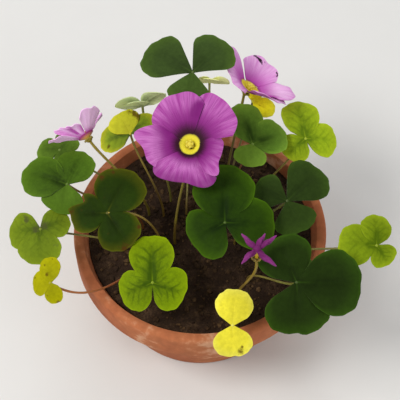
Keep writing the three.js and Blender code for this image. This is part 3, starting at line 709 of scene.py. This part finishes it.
def leaflet(piece, name, number, row, hub, lean, kind):
    turn, droop, reach, width = row
    waist = WAIST.get(name, BLADE["waist"])
    wave = 2.1 * number + hub[0] / 10
    marks = [mark[1:] for mark in LEAF_MARKS.get(name, []) if mark[0] == number]
    tint = LEAF_TINTS.get((name, number), 0)

    def surface(r, side):
        angle = side * math.radians(BLADE["sweep"])
        narrowing = 1 - BLADE["taper"] * (1 - math.cos(angle)) / 2
        grow = 1 + outline_change(name, number, side) * r ** 2
        x = r * reach * (waist + (1 - waist) * math.cos(angle)) * grow
        y = r * (width / 2) * math.sin(angle) * narrowing * grow
        along = x / reach
        arch = BLADE["arch"] * reach * along * (1 - along)
        fold = BLADE["fold"] * abs(y) * along
        ripple = BLADE["ripple"] * reach * r ** 3 * math.sin(1.6 * math.pi * side + wave)
        groove = 0.02 * reach * math.exp(-(y / (0.045 * reach)) ** 2) * math.sin(math.pi * min(1, r)) ** 0.5
        pleat = 0.006 * reach * math.sin(26 * along - 16 * abs(y) / reach) * r * (1 - r ** 4)
        mark = 0.0
        for far, across, size in marks:
            away = math.hypot(along - far, y / reach - across) / size
            mark = max(mark, 1 - 0.5 * away if away < 2 else 0.0)
        at = Vector((x + BLADE["start"], y, arch - fold + ripple - groove + pleat))
        half = BLADE["half"] * (1 - 0.45 * r ** 5)
        return at, half, (along, y / reach), {"rim": r, "mark": mark, "tint_and_highlight": tint}

    matrix = Matrix.Translation(Vector(hub) * MM) @ facing(lean, turn, -droop)
    rows, columns = BLADE["large"] if reach >= BLADE["small_reach"] else BLADE["small"]
    sheet(piece, surface, rows, columns, matrix, kind, fan=True)


for name, (hub, lean, root, bend, tone, leaflets) in LEAVES.items():
    leaf = Piece()
    for number, row in enumerate(leaflets):
        leaflet(leaf, name, number, row, hub, lean, 0)
    stem(leaf, root, hub, bend, STEM["petiole"], 1)
    knob = Matrix.Translation(Vector(hub) * MM) @ facing(lean)
    ball(leaf, (0, 0, 0), (0.75, 0.6), knob, 2, 10, 6, lambda radius, height: {"shade": 1.0})
    looks = STALK_LOOKS.get(name, STALK_PLAIN)
    pale_hub = stalk_material((LEAF_LOOKS[name][0], LEAF_LOOKS[name][2]))
    leaf.build(f"fine_{name}", name, [leaf_materials[name], stalk_material(looks), pale_hub])


# Blooms

# Dark torn marks: how far out, how far across, size
PETAL_MARKS = {
    ("bloom_back", 0): [(0.9, 0.3, 0.045), (0.84, 0.2, 0.05), (0.8, 0.1, 0.045), (0.97, 0.42, 0.03),
                        (0.93, -0.66, 0.04), (0.95, -0.76, 0.035), (0.9, 0.03, 0.03)],
}
# Painted shade of folds and of margins under overlapping petals, in the deep colour; on bloom_left it draws
# the magenta edge streaks of the petals. Where across the petal it starts and ends
PETAL_FOLD_SHADE_AND_STREAKS = {
    ("bloom_front", 0): (-0.42, -0.56), ("bloom_front", 4): (-0.45, -0.95), ("bloom_left", 2): (0.2, 0.7),
    ("bloom_left", 1): (0.3, 0.9), ("bloom_back", 2): (-0.6, -0.9),
}
# Painted shade on the bent-down outer band of a petal: how far out it starts
PETAL_EDGE_SHADE = {("bloom_front", 3): 0.62, ("bloom_back", 2): 0.86}
# How far beyond the lip the yellow of the throat runs onto the petals
YELLOW_REACH = {"bloom_front": -0.5, "bloom_back": 0.15, "bloom_left": -0.5}
# Painted highlights, a pale satin band across a petal: how far out, how wide
PETAL_HIGHLIGHTS = {("bloom_front", 3): (0.42, 0.2), ("bloom_front", 4): (0.66, 0.2),
              ("bloom_back", 2): (0.45, 0.3), ("bloom_left", 0): (0.7, 0.4)}
# How strongly the tip bends down
PETAL_CURL = {("bloom_front", 3): 2.6, ("bloom_front", 2): 1.2, ("bloom_back", 2): 1.5}


def petal(piece, name, number, row, lip, matrix, kind):
    turn, reach, half_angle, rise, flare = row[:5]
    peak_side, peak = row[5:] or (0, 0)
    inner = lip - PETAL["inset"]
    ring_reach, deep_reach = THROAT_REACH[name][number]
    marks = PETAL_MARKS.get((name, number), [])
    fold_from, fold_to = PETAL_FOLD_SHADE_AND_STREAKS.get((name, number), (0, 0))
    highlight_at, highlight_width = PETAL_HIGHLIGHTS.get((name, number), (0, 0))
    edge_from = PETAL_EDGE_SHADE.get((name, number), 9)
    curl = PETAL_CURL.get((name, number), 0.5)

    def surface(r, side):
        angle = side * math.radians(half_angle - PETAL["pinch"] * max(0, 1 - 3 * r))
        corners = flare * side ** 2 * (PETAL["round"] - side ** 2)
        point = peak * math.exp(-((side - peak_side) / PETAL["peak"]) ** 2)
        outline = inner + (reach - inner) * (1 - PETAL["fall"] * abs(side) ** 3 + corners + point)
        outline *= 1 + 0.008 * math.sin(9 * side + number) * (1 - side ** 4)
        radius = inner + r * (outline - inner)
        out = (radius - inner) / (reach - inner)
        cup = rise * out ** 1.3 + PETAL["cup"] * math.sin(math.pi * min(out, 1.3))
        lift = PETAL["lift"] * side * out + 0.8 * out * max(0, -side - 0.6) ** 2 / 0.16
        ruffle = 0.3 * r ** 4 * math.sin(8 * side + 2 * number) + 0.1 * math.sin(15 * side) * r
        bend = curl * max(0, r - 0.68) ** 2 * 6
        at = Vector((radius * math.cos(angle), radius * math.sin(angle), cup - lift + ruffle - bend))
        mark = 0.0
        for far, across, size in marks:
            away = math.hypot(r - far, (side - across) * 0.6) / size
            mark = max(mark, 1 - 0.5 * away if away < 2 else 0.0)
        # Painted shade of folds and overlapped margins (magenta edge streaks on bloom_left), kept off the
        # dark throat
        fold = 0.0
        if fold_to:
            start = fold_from + (1 if fold_from > 0 else -1) * 0.45 * r ** 4
            fold = min(1.0, max(0.0, (side - start) / (fold_to - fold_from)))
        # Painted shade on the bent-down outer band, carried by the fold value
        fold = max(fold, 0.6 * min(1.0, max(0.0, (r - edge_from) / 0.25)))
        # Painted highlight: a pale satin band across the petal
        tint_and_highlight = math.exp(-((out - highlight_at) / highlight_width) ** 2) * (1 - side ** 2) if highlight_width else 0.0
        shade = max(0.0, (radius - lip) / deep_reach)
        ring = min(1.0, max(0.0, 1 - (radius - lip) / ring_reach))
        fold *= 1 - ring ** 0.5
        yellow = float(radius < lip + YELLOW_REACH[name])
        place = (math.radians(turn) * 0.5 + angle, out)
        return at, PETAL["half"] * (1 - 0.4 * r ** 5), place, {
            "mark": mark, "shade": shade, "ring": ring, "fold": fold, "tint_and_highlight": tint_and_highlight, "yellow": yellow}

    spin = Matrix.Rotation(math.radians(turn), 4, "Z")
    sheet(piece, surface, PETAL["rows"], PETAL["columns"], matrix @ spin, kind)


# Stalk colours of the blooms at the foot and at the top
BLOOM_STALKS = {"bloom_front": ("5f4a16", "8c8420"), "bloom_back": ("5e4e18", "867a20"),
                "bloom_left": ("6c601e", "9c8a2c"), "bloom_fading": ("5c4615", "97802e")}


def calyx(piece, tube_length, lip, sepal, slim, matrix, kind):
    floor = -tube_length - CALYX["gap"]
    foot = floor - CALYX["foot"]
    shade = lambda radius, height: {"shade": 0.8}
    outer, inner = CALYX["outer"] - slim, CALYX["inner"] - slim
    lathe(piece, [(0, foot), (0.7, foot), (1.0, foot + 0.1), (outer - 0.5, floor - 0.35),
                  (outer - 0.15, floor + 0.1), (outer, floor + 0.4), (outer - 0.08, floor + 0.65),
                  (outer - 0.25, floor + 0.7), (inner + 0.1, floor + 0.6), (inner + 0.02, floor + 0.4),
                  (inner, floor), (0, floor)], 24, matrix, kind, shade)
    tilt = math.atan2(tube_length - 0.9, lip - 1)

    def surface(r, side):
        broad = CALYX["sepal_width"] * (1 - 0.8 * r ** 1.6) * (1 - 0.15 * (1 - r))
        bow = -0.25 * math.sin(math.pi * r)
        half = CALYX["sepal_half"] * (1 - 0.5 * r)
        return Vector((r * sepal, broad * side, bow)), half, (side, r), {"shade": 0.4 + 0.6 * r}

    for number in range(CALYX["sepals"]):
        spin = Matrix.Rotation(math.radians(36 + 72 * number), 4, "Z")
        sit = Matrix.Translation(Vector((CALYX["seat"] - slim, 0, floor + 0.35)) * MM)
        sheet(piece, surface, 8, 6, matrix @ spin @ sit @ Matrix.Rotation(-tilt, 4, "Y"), kind)


def scape(name, throat, lean, tube_length, lip, sepal, root, bend):
    """Stalk with cup and sepals. Returns the place of the bloom's throat."""
    green = Piece()
    matrix = Matrix.Translation(Vector(throat) * MM) @ facing(lean)
    end = matrix @ (Vector((0, 0, -tube_length - 1.2)) * MM) / MM
    stem(green, root, end, bend, STEM["scape"], 0)
    calyx(green, tube_length, lip, sepal, SLIM[name], matrix, 0)
    looks = stalk_material(BLOOM_STALKS[name])
    green.build(f"fine_{name}_scape", f"{name}_scape", [looks])
    return matrix


for name, (throat, lean, tube_length, lip, sepal, root, bend, petals) in BLOOMS.items():
    matrix = scape(name, throat, lean, tube_length, lip, sepal, root, bend)
    corolla = Piece()
    for number, row in enumerate(petals):
        petal(corolla, name, number, row, lip, matrix, 0)
    tone = lambda radius, height: {"yellow": float(radius < lip - 0.05 or height < 0.02), "ring": 1.0}
    bowl = min(1.0, tube_length / 6)
    height = min(1.6, 0.2 * tube_length)
    hollow = min(1.2, 0.45 * tube_length)
    foot = 1.1 - SLIM[name]
    profile = [
        (0, -tube_length), (foot - 0.2, -tube_length), (foot, 0.12 - tube_length),
        (1.1 * foot, height - tube_length), (lip + 0.25, 0.05), (lip + 0.3, 0.25), (lip, 0.35),
        (lip - 0.35, 0.25), (lip * 0.8, 0.05), (lip * 0.58, -0.3 * bowl), (lip * 0.35, -bowl),
        (0.5, hollow + 0.1 - tube_length), (0, hollow - tube_length),
    ]
    lathe(corolla, profile, 40, matrix, 0, tone)
    corolla.build(f"fine_{name}_corolla", f"{name}_corolla", [petal_materials[name]])

    heart = Piece()
    scale = (lip + 3) / 7.8
    floor = hollow + 0.3 - tube_length
    low = max(-0.1, 1.3 - tube_length / 2)
    lathe(heart, [(0, floor), (0.3 * scale, floor), (1.2 * scale, -0.5), (1.35 * scale, 0.7),
                  (0.7 * scale, 1.5), (0, 1.65)], 16, matrix, 0)
    for out, height, turn, lean_out in ((1.25, 1.1, 0, 25), (1.32, low, 36, 15)):
        for index in range(5):
            spin = matrix @ Matrix.Rotation(math.radians(turn + 72 * index), 4, "Z")
            tip = spin @ Matrix.Translation(Vector((out * scale, 0, height)) * MM)
            tip = tip @ Matrix.Rotation(math.radians(lean_out), 4, "Y")
            for across in (0.22, -0.22):
                ball(heart, (0, across * scale, 0), (0.42 * scale, 0.85 * scale), tip, 0, 10, 6)
    heart.build(f"fine_{name}_stamens", f"{name}_stamens", [stamen_material])

throat, lean, tube_length, lip, sepal, root, bend, petals = FADING
matrix = scape("bloom_fading", throat, lean, tube_length, lip, sepal, root, bend)
closed = Piece()
foot = 1.1 - SLIM["bloom_fading"]
profile = [
    (0, -tube_length), (foot - 0.2, -tube_length), (foot, 0.2 - tube_length), (1.1 * foot, 2 - tube_length),
    (1.55, -0.3 * tube_length), (1.6, 0.2), (1.45, 1.0), (0.8, 1.5), (0, 1.6),
]
lathe(closed, profile, 24, matrix, 0,
      lambda radius, height: {"yellow": min(1.0, max(0.0, 1 - (height + 1.6) / 1.2)), "shade": 0.3})
ROLLED_SIDES = 14
for number, (turn, rise, reach, width) in enumerate(petals):
    place = matrix @ facing([0, 0], turn, rise)
    path, radii = [], []
    for step in range(21):
        share = step / 20
        path.append(place @ (Vector((share * reach, 0.35 * math.sin(3 * share + number),
                                     0.3 * math.sin(4 * share + 2 * number) * share)) * MM))
        swell = math.sin(math.pi * (0.12 + 0.84 * share ** 0.85)) ** 0.8
        radii.append(width * 0.46 * MM * swell * (1 - 0.25 * share))
    start = len(closed.points)
    tube(closed, path, radii, ROLLED_SIDES, 0, lambda share: {"shade": 0.1 + 0.8 * share})
    for index in range(start, len(closed.points)):
        row, side = divmod(index - start, ROLLED_SIDES)
        axis = path[row]
        pinch = 1 + 0.28 * math.sin(3 * 2 * math.pi * side / ROLLED_SIDES + 0.5 * row)
        closed.points[index] = axis + (closed.points[index] - axis) * pinch
closed.build("fine_bloom_fading_corolla", "bloom_fading_corolla",
             [petal_materials["bloom_fading"]], 80)


# Soil: a lumpy top of crumbs inside the pot

def soil_top(x, y):
    away = math.hypot(x, y) / 50
    lump = noise.noise(Vector((x * 0.09, y * 0.09, 3.0))) * 0.9
    lump += noise.noise(Vector((x * 0.35, y * 0.35, 7.0))) * 0.7
    lump += noise.noise(Vector((x * 1.1, y * 1.1, 1.0))) * 0.35
    return SOIL["top"] - 2.2 * min(1, away) ** 1.6 + lump * (1 - 0.5 * min(1, away) ** 8)


earth = Piece()
sides = SOIL["sides"]
centre = earth.point(Vector((0, 0, soil_top(0, 0))) * MM)
grid = []
for r in range(1, SOIL["rings"] + 1):
    places = round_places(SOIL["edge"] * r / SOIL["rings"], sides)
    grid.append([earth.point(Vector((x, y, soil_top(x, y))) * MM) for x, y in places])
places = round_places(SOIL["foot_edge"], sides)
grid.append([earth.point(Vector((x, y, SOIL["foot"])) * MM) for x, y in places])
for s in range(sides):
    earth.face([centre, grid[0][s], grid[0][(s + 1) % sides]])
for near, far in zip(grid, grid[1:]):
    for s in range(sides):
        other = (s + 1) % sides
        earth.face([near[s], far[s], far[other], near[other]])
earth.face(grid[-1][::-1])
earth.build("fine_soil", "soil", [soil_material], 70)

crumbs = Piece()
stems = [leaf[2] for leaf in LEAVES.values()] + [bloom[5] for bloom in BLOOMS.values()] + [FADING[5]]
for number in range(CRUMBS["count"]):
    if number % 5 == 0:
        near = stems[(number // 5) % len(stems)]
        angle = rng.uniform(0, 2 * math.pi)
        away = rng.uniform(1.6, 4.5)
        x, y = near[0] + away * math.cos(angle), near[1] + away * math.sin(angle)
    else:
        angle = rng.uniform(0, 2 * math.pi)
        away = CRUMBS["spread"] * math.sqrt(rng.random())
        x, y = away * math.cos(angle), away * math.sin(angle)
    size = rng.choice(CRUMBS["sizes"]) * rng.uniform(0.8, 1.2)
    if math.hypot(x, y) > CRUMBS["limit"] - size:
        continue
    spin = (Matrix.Rotation(rng.uniform(0, 6.28), 4, "Z") @ Matrix.Rotation(rng.uniform(-0.7, 0.7), 4, "X")
            @ Matrix.Diagonal((rng.uniform(0.7, 1.3), rng.uniform(0.7, 1.1), rng.uniform(0.5, 0.9), 1)))
    begin = len(crumbs.points)
    middle = Vector((x, y, soil_top(x, y) + 0.25 * size)) * MM
    ball(crumbs, (0, 0, 0), (size, size), Matrix.Translation(middle) @ spin, 0, 6, 4)
    for index in range(begin, len(crumbs.points)):
        away = crumbs.points[index] - middle
        crumbs.points[index] = middle + away * (1 + 0.35 * noise.noise(away * 1500 + Vector((number, 0, 0))))
crumbs.build("crumbs", None, [crumb_material], 35)


# Pot

lip_height = POT["height"] - POT["rim_height"]
inside = POT["rim"] - POT["wall"]
bottom = POT["base"] - POT["wall"]
profile = [
    (POT["drain"], 0.3), (POT["drain"] + 0.3, 0), (POT["base"] - 1.6, 0), (POT["base"] - 0.5, 0.35),
    (POT["base"], 1.4), (POT["neck"] - 0.15, lip_height - 0.8), (POT["neck"] + 0.3, lip_height),
    (POT["rim"] - 1.6, lip_height), (POT["rim"] - 0.4, lip_height + 0.45), (POT["rim"], lip_height + 1.5),
    (POT["rim"], POT["height"] - 1.6), (POT["rim"] - 0.35, POT["height"] - 0.6),
    (POT["rim"] - 1.2, POT["height"]), (inside + 1.2, POT["height"]), (inside + 0.35, POT["height"] - 0.4),
    (inside, POT["height"] - 1.4), (bottom + 0.2, POT["floor"] + 1.0), (bottom - 1.2, POT["floor"]),
    (POT["drain"] + 0.3, POT["floor"]), (POT["drain"], POT["floor"] - 0.3),
]
fine = []
for near, far in zip(profile, profile[1:] + profile[:1]):
    steps = max(1, int(math.dist(near, far) / POT["step"]))
    fine += [(near[0] + (far[0] - near[0]) * k / steps, near[1] + (far[1] - near[1]) * k / steps)
             for k in range(steps)]
clay = Piece()
rings = []
for radius, height in fine:
    ring = []
    for x, y in round_places(radius, POT["sides"]):
        push = 0.12 * noise.noise(Vector((x * 0.06, y * 0.06, height * 0.06))) if 2 < height < 55 else 0.0
        ring.append(clay.point(Vector((x * (1 + push / 50), y * (1 + push / 50), height)) * MM))
    rings.append(ring)
clay.join(rings + rings[:1])
clay.build("fine_pot", "pot", [clay_material], 40)


# Floor, light and camera

floor_mesh = bpy.data.meshes.new("floor")
floor_mesh.from_pydata([(-3, -3, 0), (3, -3, 0), (3, 3, 0), (-3, 3, 0)], [], [(0, 1, 2, 3)])
floor = bpy.data.objects.new("floor", floor_mesh)
bpy.context.scene.collection.objects.link(floor)
floor_mesh.materials.append(grain_material(
    "floor", ("dad9d6", "dbdad7", "dcdbd8"), 6.0, 0.1, 0.9, 0.0, 0.0001, contrast=0.04))

world = bpy.data.worlds.new("studio")
bpy.context.scene.world = world
world.use_nodes = True
world.node_tree.nodes["Background"].inputs[0].default_value = (0.97, 0.985, 1.0, 1.0)
world.node_tree.nodes["Background"].inputs[1].default_value = 0.5


def area(name, at, aim, size, power, tint=(1.0, 1.0, 1.0)):
    light = bpy.data.lights.new(name, "AREA")
    light.shape = "DISK"
    light.size = size
    light.energy = power
    light.color = tint
    holder = bpy.data.objects.new(name, light)
    holder.location = at
    holder.rotation_euler = (Vector(aim) - Vector(at)).to_track_quat("-Z", "Y").to_euler()
    bpy.context.scene.collection.objects.link(holder)


area("key", (-0.55, -0.25, 0.95), (0, 0, 0.06), 0.45, 7.5, (1.0, 0.98, 0.96))
area("fill", (0.8, -0.5, 0.6), (0, 0, 0.06), 0.8, 2.4, (0.96, 0.98, 1.0))
area("back", (0.1, 0.9, 0.7), (0, 0, 0.08), 0.6, 2.4)

camera = bpy.data.objects.new("camera", bpy.data.cameras.new("camera"))
bpy.context.scene.collection.objects.link(camera)
camera.data.sensor_width = 36.0
camera.data.lens = 101.0
camera.location = (0.0, -0.2488, 0.4761)
aim = Vector((0.0, -0.005, 0.086))
camera.rotation_euler = (aim - camera.location).to_track_quat("-Z", "Y").to_euler()
camera.data.clip_start = 0.01
bpy.context.scene.camera = camera
bpy.context.scene.view_settings.view_transform = "Standard"
